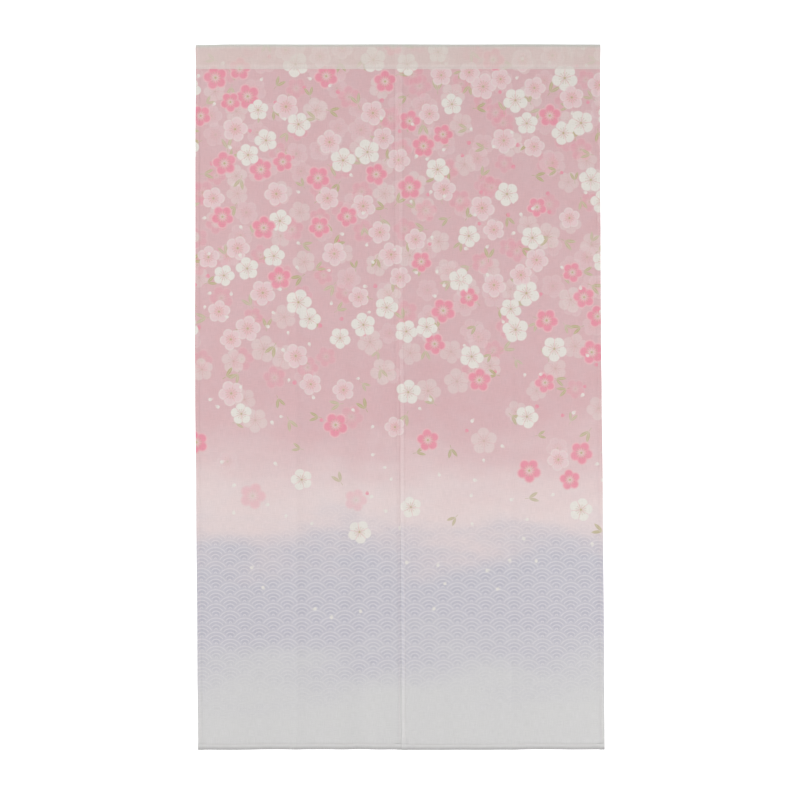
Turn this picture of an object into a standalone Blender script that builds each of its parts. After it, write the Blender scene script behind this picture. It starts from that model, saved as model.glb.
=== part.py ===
"""Noren curtain, hung: a heading that makes the rod pocket, and two panels sewn at the centre.

Metres, +Z up. The origin is the middle of the top edge. The back of the cloth, where the hems are turned,
faces -Y, and the printed face +Y. Left and right are those of someone who looks at the back.
"""

import math
from collections import namedtuple

import bmesh
import bpy

# Whole curtain
DROP = 1.500
SHEET = 0.0012
TURNED_HEM = 2.0 * SHEET
SEWN_GAP = 0.0003

# Heading: one strip that goes over the rod and is sewn to itself along its lower fold
POCKET_DROP = 0.053
CROWN_RADIUS = 0.0081
SEAM_RADIUS = 0.0010
CROWN_STEPS = 12
SEAM_STEPS = 4
HEADING_STEP = 0.045

# Heading: how the empty pocket wanders along its length
CORNER_DIP = 0.0013
CORNER_REACH = 0.080
TOP_WAVE = 0.0003
TOP_WAVE_LENGTH = 0.290
POCKET_SWAY = 0.0005
POCKET_SWAY_LENGTH = 0.330

# Panels: hems turned to the back, and the seam that ends where the slit starts
PANEL_TOP = POCKET_DROP + SEWN_GAP
SIDE_HEM = 0.008
FOOT_HEM = 0.012
HEM_EDGE = 0.0008
SLIT_TOP = 0.620
COLUMN_STEP = 0.0160
ROW_STEP = 0.055

# Slit: where the free edges have fully parted, and how far in from an edge its curl and its roll reach
SLIT_PARTED = 0.780
CURL_WIDTH = 0.150
ROLL_WIDTH = 0.040

# Broad sway of the hung cloth, nothing at the heading and most at the foot
SWAY = 0.0022
SWAY_LENGTH = 0.540

# Outline: the outer edges, the line between the panels, and how far the panels lie over each other there
Outline = namedtuple("Outline", "below_top left middle right overlap")
OUTLINE = (
    Outline(0.000, -0.4298, 0.0015, 0.4298, -SEWN_GAP),
    Outline(0.230, -0.4309, 0.0015, 0.4298, -SEWN_GAP),
    Outline(0.440, -0.4309, 0.0017, 0.4309, -SEWN_GAP),
    Outline(0.620, -0.4319, 0.0022, 0.4317, -SEWN_GAP),
    Outline(0.740, -0.4312, 0.0048, 0.4332, -SEWN_GAP),
    Outline(0.950, -0.4290, 0.0062, 0.4356, 0.0024),
    Outline(1.290, -0.4266, 0.0084, 0.4383, 0.0024),
    Outline(1.500, -0.4250, 0.0088, 0.4396, 0.0024),
)

# Folds: a ridge stands out to the back, a trough has a negative rise, and each grows on its way down
Fold = namedtuple("Fold", "middle rise half_width starts full")
FOLDS = (
    Fold(-0.352, 0.0026, 0.046, 0.30, 1.35),
    Fold(-0.276, -0.0018, 0.030, 0.45, 1.40),
    Fold(-0.216, 0.0022, 0.014, 0.10, 0.55),
    Fold(-0.118, 0.0022, 0.024, 0.25, 1.10),
    Fold(-0.080, -0.0022, 0.022, 0.35, 1.20),
    Fold(-0.042, 0.0020, 0.022, 0.30, 1.05),
    Fold(0.095, 0.0014, 0.024, 0.25, 1.20),
    Fold(0.180, 0.0026, 0.034, 0.35, 1.25),
    Fold(0.243, 0.0022, 0.014, 0.45, 0.95),
    Fold(0.300, -0.0020, 0.034, 0.50, 1.40),
    Fold(0.378, 0.0026, 0.040, 0.30, 1.30),
)

# Panels by the edges that they lie between. At the slit one laps to the right, 1, and one to the left, -1.
# Beside the slit the cloth curls and its edge rolls: to the face, or to the back where less than 0.
Panel = namedtuple("Panel", "name low high lap curl roll")
PANELS = (
    Panel("left_panel", "left", "middle", 1.0, 0.0, 0.0),
    Panel("right_panel", "middle", "right", -1.0, -0.0050, 0.0020),
)

# Finishes: linear colour of each piece, and how matt the cloth is
HEADING_COLOUR = (0.66, 0.55, 0.52, 1.0)
PANEL_COLOUR = (0.67, 0.44, 0.45, 1.0)
CLOTH_ROUGHNESS = 0.9


def clear_scene():
    for item in list(bpy.data.objects):
        bpy.data.objects.remove(item, do_unlink=True)


def ease(value, start, end):
    """Go smoothly from 0 at the start to 1 at the end."""
    share = min(max((value - start) / (end - start), 0.0), 1.0)
    return share * share * (3.0 - 2.0 * share)


def stations(marks, longest_step):
    """Places from the first mark to the last that take in every mark, no further apart than the step."""
    places = [marks[0]]
    for low, high in zip(marks, marks[1:]):
        steps = math.ceil((high - low) / longest_step)
        places += [low + (high - low) * step / steps for step in range(1, steps + 1)]
    return places


def outline_at(below_top):
    """Row of the outline at any height, eased between the rows of the table."""
    for upper, lower in zip(OUTLINE, OUTLINE[1:]):
        if below_top <= lower.below_top:
            share = ease(below_top, upper.below_top, lower.below_top)
            return Outline(*[start + (end - start) * share for start, end in zip(upper, lower)])
    return OUTLINE[-1]


def fold_rise(x, below_top):
    """How far the hung cloth stands out to the back."""
    sway = SWAY * ease(below_top, POCKET_DROP, DROP) * math.sin(2.0 * math.pi * x / SWAY_LENGTH)
    folds = 0.0
    for fold in FOLDS:
        across = math.exp(-((x - fold.middle) / fold.half_width) ** 2)
        folds += fold.rise * across * ease(below_top, fold.starts, fold.full)
    return sway + folds


def cloth_material(name, colour):
    material = bpy.data.materials.new(name)
    material.use_nodes = True
    shader = material.node_tree.nodes["Principled BSDF"]
    shader.inputs["Base Color"].default_value = colour
    shader.inputs["Roughness"].default_value = CLOTH_ROUGHNESS
    shader.inputs["Metallic"].default_value = 0.0
    return material


def bent_grid(columns, rows, point_at, turned_at=None):
    """Flat grid, each vertex moved to the point of its column and row, and grouped where cloth is turned."""
    grid = bmesh.new()
    bmesh.ops.create_grid(grid, x_segments=len(columns) - 1, y_segments=len(rows) - 1, size=0.5)
    groups = grid.verts.layers.deform.verify()
    for vertex in grid.verts:
        column = columns[round((vertex.co.x + 0.5) * (len(columns) - 1))]
        row = rows[round((vertex.co.y + 0.5) * (len(rows) - 1))]
        vertex.co = point_at(column, row)
        if turned_at and turned_at(column, row):
            vertex[groups][0] = 1.0
    return grid


def cloth_object(name, grid, colour, collection):
    mesh = bpy.data.meshes.new(name)
    grid.to_mesh(mesh)
    grid.free()
    mesh.shade_smooth()
    cloth = bpy.data.objects.new(name, mesh)
    collection.objects.link(cloth)
    mesh.materials.append(cloth_material(name, colour))
    return cloth


def bend(centre_z, radius, start, turn, steps):
    """Points of an arc, in Y and Z, round a centre below the middle of the top edge."""
    angles = [start + turn * step / steps for step in range(steps + 1)]
    return [(radius * math.cos(angle), centre_z + radius * math.sin(angle)) for angle in angles]


def pocket_section():
    """Y and Z of the middle of the cloth, once round: over the crown, down the back and up the face."""
    crown_z = -(CROWN_RADIUS + SHEET / 2)
    seam_z = -(POCKET_DROP - SEAM_RADIUS - SHEET / 2)
    lean = math.asin((CROWN_RADIUS - SEAM_RADIUS) / (crown_z - seam_z))
    crown_turn = math.pi + 2.0 * lean
    seam_turn = 2.0 * math.pi - crown_turn
    crown = bend(crown_z, CROWN_RADIUS, -lean, crown_turn, CROWN_STEPS)
    seam = bend(seam_z, SEAM_RADIUS, math.pi + lean, seam_turn, SEAM_STEPS)
    return crown + seam + crown[:1]


def heading_point(x, section_point):
    """Point of the pocket, whose crown dips at the left corner and sways along the curtain."""
    y, z = section_point
    height = 1.0 + z / POCKET_DROP
    dip = CORNER_DIP * ease(-x, OUTLINE[0].right - CORNER_REACH, OUTLINE[0].right)
    wave = TOP_WAVE * math.sin(math.pi * x / TOP_WAVE_LENGTH) ** 2
    sway = POCKET_SWAY * math.sin(2.0 * math.pi * x / POCKET_SWAY_LENGTH)
    return x, y + sway * height, z - (dip + wave) * height


def make_heading(collection):
    """Strip of cloth bent to a closed loop, open at both ends of the pocket."""
    columns = stations([OUTLINE[0].left, OUTLINE[0].right], HEADING_STEP)
    grid = bent_grid(columns, pocket_section(), heading_point)
    bmesh.ops.remove_doubles(grid, verts=grid.verts, dist=0.0001)
    heading = cloth_object("heading", grid, HEADING_COLOUR, collection)
    wall = heading.modifiers.new("cloth", "SOLIDIFY")
    wall.thickness = SHEET
    wall.offset = 0.0


def panel_point(panel, across, below_top):
    """Point of a panel's face, at a share of its width from its low edge."""
    outline = outline_at(below_top)
    edges = {
        "left": outline.left,
        "middle": outline.middle + panel.lap * outline.overlap / 2,
        "right": outline.right,
    }
    x = edges[panel.low] + (edges[panel.high] - edges[panel.low]) * across
    from_slit = abs(x - edges["middle"])
    curl = panel.curl * (1.0 - ease(from_slit, 0.0, CURL_WIDTH))
    roll = panel.roll * max(1.0 - from_slit / ROLL_WIDTH, 0.0) ** 3
    y = SHEET / 2 - fold_rise(x, below_top) + (curl + roll) * ease(below_top, SLIT_TOP, SLIT_PARTED)
    return x, y, -below_top


def make_panel(panel, collection):
    """Cloth that grows from its face to the back, twice as thick along the hems at its sides and foot."""
    width = OUTLINE[0].right - OUTLINE[0].middle
    hem = SIDE_HEM / width
    hem_edge = HEM_EDGE / width
    foot_hem_top = DROP - FOOT_HEM
    columns = stations([0.0, hem, hem + hem_edge, 1.0 - hem - hem_edge, 1.0 - hem, 1.0], COLUMN_STEP / width)
    rows = stations([PANEL_TOP, SLIT_TOP, SLIT_PARTED, foot_hem_top - HEM_EDGE, foot_hem_top, DROP], ROW_STEP)

    def point_at(across, below_top):
        return panel_point(panel, across, below_top)

    def turned_at(across, below_top):
        return across <= hem or across >= 1.0 - hem or below_top >= foot_hem_top

    grid = bent_grid(columns, rows, point_at, turned_at)
    cloth = cloth_object(panel.name, grid, PANEL_COLOUR, collection)
    wall = cloth.modifiers.new("cloth", "SOLIDIFY")
    wall.thickness = TURNED_HEM
    wall.offset = 1.0
    wall.vertex_group = cloth.vertex_groups.new(name="hem").name
    wall.thickness_vertex_group = SHEET / TURNED_HEM


def main():
    clear_scene()
    collection = bpy.data.collections.new("noren_curtain")
    bpy.context.scene.collection.children.link(collection)
    make_heading(collection)
    for panel in PANELS:
        make_panel(panel, collection)


main()
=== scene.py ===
"""Noren curtain: thin printed cloth with turned hems and sewing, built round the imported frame.

Metres, +Z up. The back of the cloth faces -Y and the camera. The printed face is +Y.
"""

import math
from collections import namedtuple

import bmesh
import bpy
from bpy.props import FloatProperty, FloatVectorProperty, IntProperty, PointerProperty
from mathutils import Color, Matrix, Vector, noise


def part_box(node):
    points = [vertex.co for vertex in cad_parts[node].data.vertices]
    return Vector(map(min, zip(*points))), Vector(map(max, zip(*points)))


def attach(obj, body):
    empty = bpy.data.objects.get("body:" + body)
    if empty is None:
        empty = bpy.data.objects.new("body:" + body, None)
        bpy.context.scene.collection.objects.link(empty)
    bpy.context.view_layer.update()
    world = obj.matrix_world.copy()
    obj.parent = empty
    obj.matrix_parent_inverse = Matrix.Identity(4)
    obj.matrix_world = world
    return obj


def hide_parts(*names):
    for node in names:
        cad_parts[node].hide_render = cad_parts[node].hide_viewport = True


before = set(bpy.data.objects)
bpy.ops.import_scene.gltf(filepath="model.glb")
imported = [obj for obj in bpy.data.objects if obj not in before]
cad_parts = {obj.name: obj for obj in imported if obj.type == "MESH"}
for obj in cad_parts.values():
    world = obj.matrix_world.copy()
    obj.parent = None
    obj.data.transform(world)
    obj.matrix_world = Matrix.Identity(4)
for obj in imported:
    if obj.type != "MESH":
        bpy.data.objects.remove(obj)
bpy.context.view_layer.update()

bl_info = {
    "name": "Noren curtain",
    "version": (1, 0, 0),
    "blender": (4, 5, 0),
    "location": "3D View > Sidebar > Noren",
    "description": "Cloth, hems, sewing and print of a split doorway curtain",
    "category": "Object",
}

# Sizes that the frame gives
DROP = -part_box("left_panel")[0].z
POCKET_DROP = -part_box("heading")[0].z
HALF_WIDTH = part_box("heading")[1].x

# Slit: where it starts, where its free edges have fully parted, and how far in their curl and roll reach
SLIT_TOP = 0.620
SLIT_PARTED = 0.780
CURL_WIDTH = 0.150
ROLL_WIDTH = 0.040
EDGES_MEET = -0.00004

# Outline: the outer edges, the line between the panels, and how far the panels lie over each other there
Outline = namedtuple("Outline", "below_top left middle right overlap")
OUTLINE = (
    Outline(0.000, -0.4298, 0.0015, 0.4298, EDGES_MEET),
    Outline(0.230, -0.4309, 0.0015, 0.4298, EDGES_MEET),
    Outline(0.440, -0.4309, 0.0017, 0.4309, EDGES_MEET),
    Outline(0.620, -0.4319, 0.0022, 0.4317, EDGES_MEET),
    Outline(0.740, -0.4312, 0.0048, 0.4332, EDGES_MEET),
    Outline(0.950, -0.4290, 0.0062, 0.4356, 0.0024),
    Outline(1.290, -0.4266, 0.0084, 0.4383, 0.0024),
    Outline(1.500, -0.4250, 0.0088, 0.4396, 0.0024),
)
SEAM_X = OUTLINE[0].middle

# Folds: a ridge stands out to the back, a trough has a negative rise, and each grows on its way down
Fold = namedtuple("Fold", "middle rise half_width starts full")
FOLDS = (
    Fold(-0.352, 0.0026, 0.046, 0.30, 1.35),
    Fold(-0.276, -0.0018, 0.030, 0.45, 1.40),
    Fold(-0.216, 0.0022, 0.014, 0.10, 0.55),
    Fold(-0.118, 0.0022, 0.024, 0.25, 1.10),
    Fold(-0.080, -0.0022, 0.022, 0.35, 1.20),
    Fold(-0.042, 0.0020, 0.022, 0.30, 1.05),
    Fold(0.095, 0.0014, 0.024, 0.25, 1.20),
    Fold(0.180, 0.0026, 0.034, 0.35, 1.25),
    Fold(0.243, 0.0022, 0.014, 0.45, 0.95),
    Fold(0.300, -0.0020, 0.034, 0.50, 1.40),
    Fold(0.378, 0.0026, 0.040, 0.30, 1.30),
)
SWAY = 0.0022
SWAY_LENGTH = 0.540

# Creases pressed in when the cloth was packed: sharper than the folds, with a rounded crest
CREASES = (
    Fold(-0.2160, 0.0007, 0.0035, 0.06, 0.30),
    Fold(0.2430, 0.0008, 0.0040, 0.35, 0.70),
)
LEVEL_CREASE_BELOW = 1.257
LEVEL_CREASE_RISE = 0.0004
LEVEL_CREASE_HALF_WIDTH = 0.0040
LEVEL_CREASE_ENDS = (-0.10, 0.12)
CREST = 0.0008
CREASE_REACH = 0.012

# Slight unevenness of hung cloth
UNEVEN = 0.0005
UNEVEN_ACROSS = 11.0
UNEVEN_DOWN = 4.0
UNEVEN_SLICE = 0.7
UNEVEN_FULL = 0.30

# Panels by the edges that they lie between. At the slit one laps to the right, 1, and one to the left, -1.
# Beside the slit the cloth curls and its edge rolls: to the face, or to the back where less than 0.
Panel = namedtuple("Panel", "name node low high lap curl roll crease")
PANELS = (
    Panel("left_cloth", "left_panel", "left", "middle", 1.0, 0.0, 0.0, CREASES[0].middle),
    Panel("right_cloth", "right_panel", "middle", "right", -1.0, -0.0050, 0.0036, CREASES[1].middle),
)

# Layers of turned cloth: from the middle of one to the middle of the next, and the outermost one's place
LAYER = 0.00048
CLOTH_OUT = 0.0002
HEM_RADIUS = 0.00040
HEM_SETTLE = 0.005
COVER_FADE = 0.007
HEM_EDGE = 0.0005
SHARP_EDGE = math.radians(50.0)

# Cloth grid: steps across and down the free cloth, at the creases, across the centre seam of the heading, at
# the hems, and how far from an edge the finer ones reach
FREE_STEP = 0.0072
HEADING_FREE_STEP = 0.008
ROW_STEP = 0.010
CREASE_STEP = 0.002
LEVEL_CREASE_STEP = 0.0024
SEAM_STEP = 0.0004
SEAM_REACH = 0.0012
TURNED_STEP = 0.0017
EDGE_REACH = 0.003
EDGE_STEP = 0.001
BEHIND_STEP = 0.0025
BESIDE_REACH = 0.006
BESIDE_STEP = 0.003
FOOT_REACH = 0.018
FOOT_EDGE_REACH = 0.002

# Heading: crown of the empty pocket, and how it wanders along its length
CROWN_OUTSIDE = 0.0087
CROWN_STEPS = 28
PINCH_Z = -0.0480
TUCK = 0.0490
SECTION_STEP = 0.003
SEAM_GROOVE = 0.00025
CORNER_DIP = 0.0013
CORNER_REACH = 0.080
TOP_WAVE = 0.0003
TOP_WAVE_LENGTH = 0.290
POCKET_SWAY = 0.0005
POCKET_SWAY_LENGTH = 0.330

# Photograph: its width in pixels, the curtain's drop, and the pixel of the middle of the top edge
FRAME_PIXELS = 800
DROP_PIXELS = 705.25
MIDDLE_PIXEL = 397.5
TOP_PIXEL = 43.75
CENTRE_PIXEL = 399.5


def length_property(name, description, default):
    return FloatProperty(name=name, description=description, default=default, unit="LENGTH")


def colour_property(name, description, default):
    return FloatVectorProperty(name=name, description=description, default=default, subtype="COLOR")


def power_property(name, description, default):
    return FloatProperty(name=name, description=description, default=default, unit="POWER")


class NorenSizes(bpy.types.PropertyGroup):
    """Sizes of the cloth and its sewing"""

    sheet: length_property("Cloth", "Thickness of the cloth", 0.00035)
    side_hem: length_property("Side hem", "Width of the hems at the sides and the slit", 0.008)
    foot_hem: length_property("Foot hem", "Depth of the foot hem", 0.012)
    seam_turn: length_property("Seam turn", "Cloth turned under at the heading's seam", 0.0085)
    fold_steps: IntProperty(name="Fold steps", description="Faces round each turned fold", default=6, min=3)
    stitch_pitch: length_property("Stitch pitch", "From one stitch to the next", 0.0032)
    stitch_length: length_property("Stitch length", "Length of one stitch", 0.0027)
    thread: length_property("Thread", "Thickness of the sewing thread", 0.00036)


class NorenColours(bpy.types.PropertyGroup):
    """Colours of the cloth and its print"""

    bare: colour_property("Bare cloth", "Cloth without print", (0.560, 0.488, 0.452))
    # Painted light: a light green-grey that lightens the crown's top, standing in for light from above
    greyed: colour_property("Greyed cloth", "Bare cloth over the rod", (0.790, 0.850, 0.780))
    ground: colour_property("Ground", "Behind the blossoms", (0.618, 0.406, 0.420))
    pale_ground: colour_property("Pale ground", "Ground above the waves", (0.698, 0.588, 0.580))
    water: colour_property("Water", "Ground of the waves", (0.425, 0.425, 0.495))
    foam: colour_property("Foam", "Lines of the waves", (0.585, 0.575, 0.605))
    foot: colour_property("Foot", "Ground at the foot", (0.575, 0.583, 0.580))
    white: colour_property("White", "White blossoms", (0.705, 0.680, 0.630))
    blush: colour_property("Blush", "Blush blossoms", (0.695, 0.525, 0.535))
    rose: colour_property("Rose", "Rose blossoms", (0.715, 0.270, 0.340))
    leaf: colour_property("Leaf", "Leaves", (0.430, 0.375, 0.195))
    thread: colour_property("Thread", "Sewing thread", (0.680, 0.600, 0.590))


class NorenStage(bpy.types.PropertyGroup):
    """Camera, lights and backdrop"""

    lens: FloatProperty(name="Lens", description="Focal length of the camera in millimetres", default=85.0)
    floor_below: length_property("Floor", "From the foot down to the floor", 0.28)
    backdrop_behind: length_property("Backdrop", "From the cloth back to the backdrop", 6.5)
    backdrop_glow: FloatProperty(name="Glow", description="Light that the backdrop gives", default=0.65)
    key_power: power_property("Key", "Soft light at the left", 33.0)
    fill_power: power_property("Fill", "Soft light at the lower right", 8.0)
    top_power: power_property("Top", "Soft light above and a little behind", 12.0)
    sky: FloatProperty(name="Sky", description="Strength of the even light all round", default=0.33)


def ease(value, start, end):
    """Go smoothly from 0 at the start to 1 at the end."""
    share = min(max((value - start) / (end - start), 0.0), 1.0)
    return share * share * (3.0 - 2.0 * share)


def stations(start, *spans):
    """Places from a start through spans, each given by its end and its longest step."""
    places = [start]
    for end, step in spans:
        low = places[-1]
        steps = max(1, math.ceil((end - low) / step - 1e-6))
        places += [low + (end - low) * number / steps for number in range(1, steps + 1)]
    return places


def select_only(*objects):
    bpy.ops.object.select_all(action="DESELECT")
    for item in objects:
        item.select_set(True)
    bpy.context.view_layer.objects.active = objects[0]


# Shape of the hung cloth


def outline_at(below_top):
    """Row of the outline at any height, eased between the rows of the table."""
    for upper, lower in zip(OUTLINE, OUTLINE[1:]):
        if below_top <= lower.below_top:
            share = ease(below_top, upper.below_top, lower.below_top)
            return Outline(*[start + (end - start) * share for start, end in zip(upper, lower)])
    return OUTLINE[-1]


def fold_rise(x, below_top):
    """How far the hung cloth stands out to the back."""
    grown = ease(below_top, POCKET_DROP, DROP)
    rise = SWAY * grown * math.sin(2.0 * math.pi * x / SWAY_LENGTH)
    for fold in FOLDS:
        across = math.exp(-((x - fold.middle) / fold.half_width) ** 2)
        rise += fold.rise * across * ease(below_top, fold.starts, fold.full)
    for crease in CREASES:
        across = math.exp(-math.hypot(x - crease.middle, CREST) / crease.half_width)
        rise += crease.rise * across * ease(below_top, crease.starts, crease.full)
    level = math.exp(-math.hypot(below_top - LEVEL_CREASE_BELOW, CREST) / LEVEL_CREASE_HALF_WIDTH)
    rise += LEVEL_CREASE_RISE * level * (1.0 - ease(x, *LEVEL_CREASE_ENDS))
    uneven = noise.noise(Vector((x * UNEVEN_ACROSS, below_top * UNEVEN_DOWN, UNEVEN_SLICE)))
    return rise + UNEVEN * uneven * ease(below_top, POCKET_DROP, UNEVEN_FULL)


def side_turn(past):
    """How far beyond the tangent, and how far behind the cloth, a side hem lies at a distance past it."""
    arc = math.pi * HEM_RADIUS
    angle = min(past / HEM_RADIUS, math.pi)
    back = max(past - arc, 0.0)
    settled = (2.0 * HEM_RADIUS - LAYER) * ease(back, 0.0, HEM_SETTLE)
    return HEM_RADIUS * math.sin(angle) - back, HEM_RADIUS * (1.0 - math.cos(angle)) - settled


def side_hemmed(across, width):
    """How far in from the low tangent, and how far behind the cloth, a place on the flat cloth goes."""
    if across < 0.0:
        reach, depth = side_turn(-across)
        return -reach, depth
    if across > width:
        reach, depth = side_turn(across - width)
        return width + reach, depth
    return across, 0.0


def hemmed(across, width, down, side_hem):
    """Place across, down and behind the cloth, once the side hems and then the foot hem are turned back."""
    inward, depth = side_hemmed(across, width)
    length = DROP - LAYER / 2
    if down <= length:
        return inward, down, depth
    cover = 1.0 - ease(min(inward, width - inward), side_hem, side_hem + COVER_FADE)
    outer = LAYER / 2 + LAYER * cover
    inner = outer - depth
    angle = min((down - length) / (LAYER / 2), math.pi)
    up = max(down - length - math.pi * LAYER / 2, 0.0)
    return inward, length + inner * math.sin(angle) - up, outer - inner * math.cos(angle)


def panel_edges(panel, outline):
    """X of a panel's two edges at one height."""
    middle = outline.middle + panel.lap * outline.overlap / 2
    edges = {"left": outline.left, "middle": middle, "right": outline.right}
    return edges[panel.low], edges[panel.high]


def flat_width(panel):
    """Width of a panel between the tangents of its hems' folds."""
    low, high = panel_edges(panel, OUTLINE[0])
    return high - low - 2.0 * HEM_RADIUS


def on_panel(panel, inward, below_top, depth):
    """Point at a distance in from the low tangent, below the top, and behind the middle of the cloth."""
    width = flat_width(panel)
    low, high = panel_edges(panel, outline_at(below_top))
    share = min(max(inward / width, 0.0), 1.0)
    x = low + HEM_RADIUS + share * (high - low - 2.0 * HEM_RADIUS) + inward - share * width
    from_slit = abs(x - (high if panel.high == "middle" else low))
    curl = panel.curl * (1.0 - ease(from_slit, 0.0, CURL_WIDTH))
    roll = panel.roll * max(1.0 - from_slit / ROLL_WIDTH, 0.0) ** 3
    y = CLOTH_OUT - fold_rise(x, below_top) + (curl + roll) * ease(below_top, SLIT_TOP, SLIT_PARTED)
    return Vector((x, y - depth, -below_top))


# Cloth meshes

# Tones: how far each place is doubled, which at the centre edges is partly a painted highlight, bare of
# print, darkened by painted shade beside a hem and along the edge folds, and lightened by painted light at
# the crown's top. Down the left panel the sewn edge's doubled look fades to that of a hem.
Tones = namedtuple("Tones", "doubled bare beside worn greyed")
# Painted shade beside a hem: how far in from the hem's edge it reaches
BESIDE_HEM_SHADE_REACH = 0.0045
# Painted shade along the edge folds: its strength at the outer sides, and how far it reaches there and at the
# foot
SIDE_EDGE_SHADE = 0.25
SIDE_EDGE_SHADE_REACH = 0.0022
FOOT_EDGE_SHADE_REACH = 0.0100
# Painted light over the crown's top: how far it reaches
CROWN_LIGHT_REACH = 0.0175
SEAM_FADES = (0.15, 0.50)
HEM_DOUBLED = 0.35


def cloth_sheet(name, columns, rows, point_at, print_at, tones_at):
    """Flat grid bent to shape, with its place in the print as a map, and the tones of its parts."""
    grid = bmesh.new()
    bmesh.ops.create_grid(grid, x_segments=len(columns) - 1, y_segments=len(rows) - 1, size=0.5)
    printed = grid.loops.layers.uv.new("print")
    tones = {tone: grid.verts.layers.float.new(tone) for tone in Tones._fields}
    places = {}
    for vertex in grid.verts:
        column = columns[round((vertex.co.x + 0.5) * (len(columns) - 1))]
        row = rows[round((vertex.co.y + 0.5) * (len(rows) - 1))]
        vertex.co = point_at(column, row)
        for tone, value in tones_at(column, row)._asdict().items():
            vertex[tones[tone]] = value
        places[vertex] = print_at(column, row)
    for face in grid.faces:
        for loop in face.loops:
            loop[printed].uv = places[loop.vert]
    mesh = bpy.data.meshes.new(name)
    grid.to_mesh(mesh)
    grid.free()
    mesh.shade_smooth()
    return mesh


def thickened(mesh, sheet, face_material, back_material):
    """Cloth object with its thickness, the print's face on one side and its back on the other."""
    cloth = bpy.data.objects.new(mesh.name, mesh)
    bpy.context.scene.collection.objects.link(cloth)
    mesh.materials.append(face_material)
    mesh.materials.append(back_material)
    select_only(cloth)
    wall = cloth.modifiers.new("cloth", "SOLIDIFY")
    wall.thickness = sheet
    wall.offset = 0.0
    wall.material_offset = 1
    bpy.ops.object.modifier_apply(modifier=wall.name)
    bpy.ops.object.shade_smooth_by_angle(angle=SHARP_EDGE)
    return cloth


def within_hem(from_edge, hem):
    return 1.0 - ease(from_edge, hem - HEM_EDGE, hem + HEM_EDGE)


def shade_beside_hem(from_edge, hem):
    """Painted shade: 1 just past a hem's inner edge, and 0 on the hem and a little way off."""
    return ease(from_edge, hem, hem + HEM_EDGE) * (1.0 - ease(from_edge, hem + HEM_EDGE, hem + BESIDE_HEM_SHADE_REACH))


def fading(from_edge, reach):
    return 1.0 - ease(from_edge, 0.0, reach)


def side_hem_stations(sizes):
    """Places across a side hem: its turned part from the cut edge in, and the cloth that it lies behind."""
    arc = math.pi * HEM_RADIUS
    turned = stations(
        -(sizes.side_hem + arc),
        (-(arc + HEM_SETTLE), TURNED_STEP),
        (-arc, TURNED_STEP),
        (0.0, arc / sizes.fold_steps),
    )
    behind = stations(
        0.0,
        (EDGE_REACH, EDGE_STEP),
        (sizes.side_hem - HEM_EDGE, BEHIND_STEP),
        (sizes.side_hem + HEM_EDGE, 2.0 * HEM_EDGE),
        (sizes.side_hem + BESIDE_REACH, BESIDE_STEP),
    )
    return turned, behind


def columns_between_hems(width, fine_at, fine_reach, fine_step, coarse_step, sizes):
    """Places across the flat cloth, hem to hem, closer together round one place."""
    turned, behind = side_hem_stations(sizes)
    middle = stations(
        behind[-1],
        (fine_at - fine_reach, coarse_step),
        (fine_at + fine_reach, fine_step),
        (width - behind[-1], coarse_step),
    )
    low = turned[:-1] + behind[:-1] + middle
    high = [width - place for place in reversed(turned[:-1] + behind[:-1])]
    return low + high


def panel_cut(panel, sizes):
    """Flat size of a panel: width and length with all that is turned."""
    turned = sizes.side_hem + math.pi * HEM_RADIUS
    return flat_width(panel) + 2.0 * turned, DROP - TUCK + sizes.foot_hem + math.pi * LAYER / 2


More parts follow.
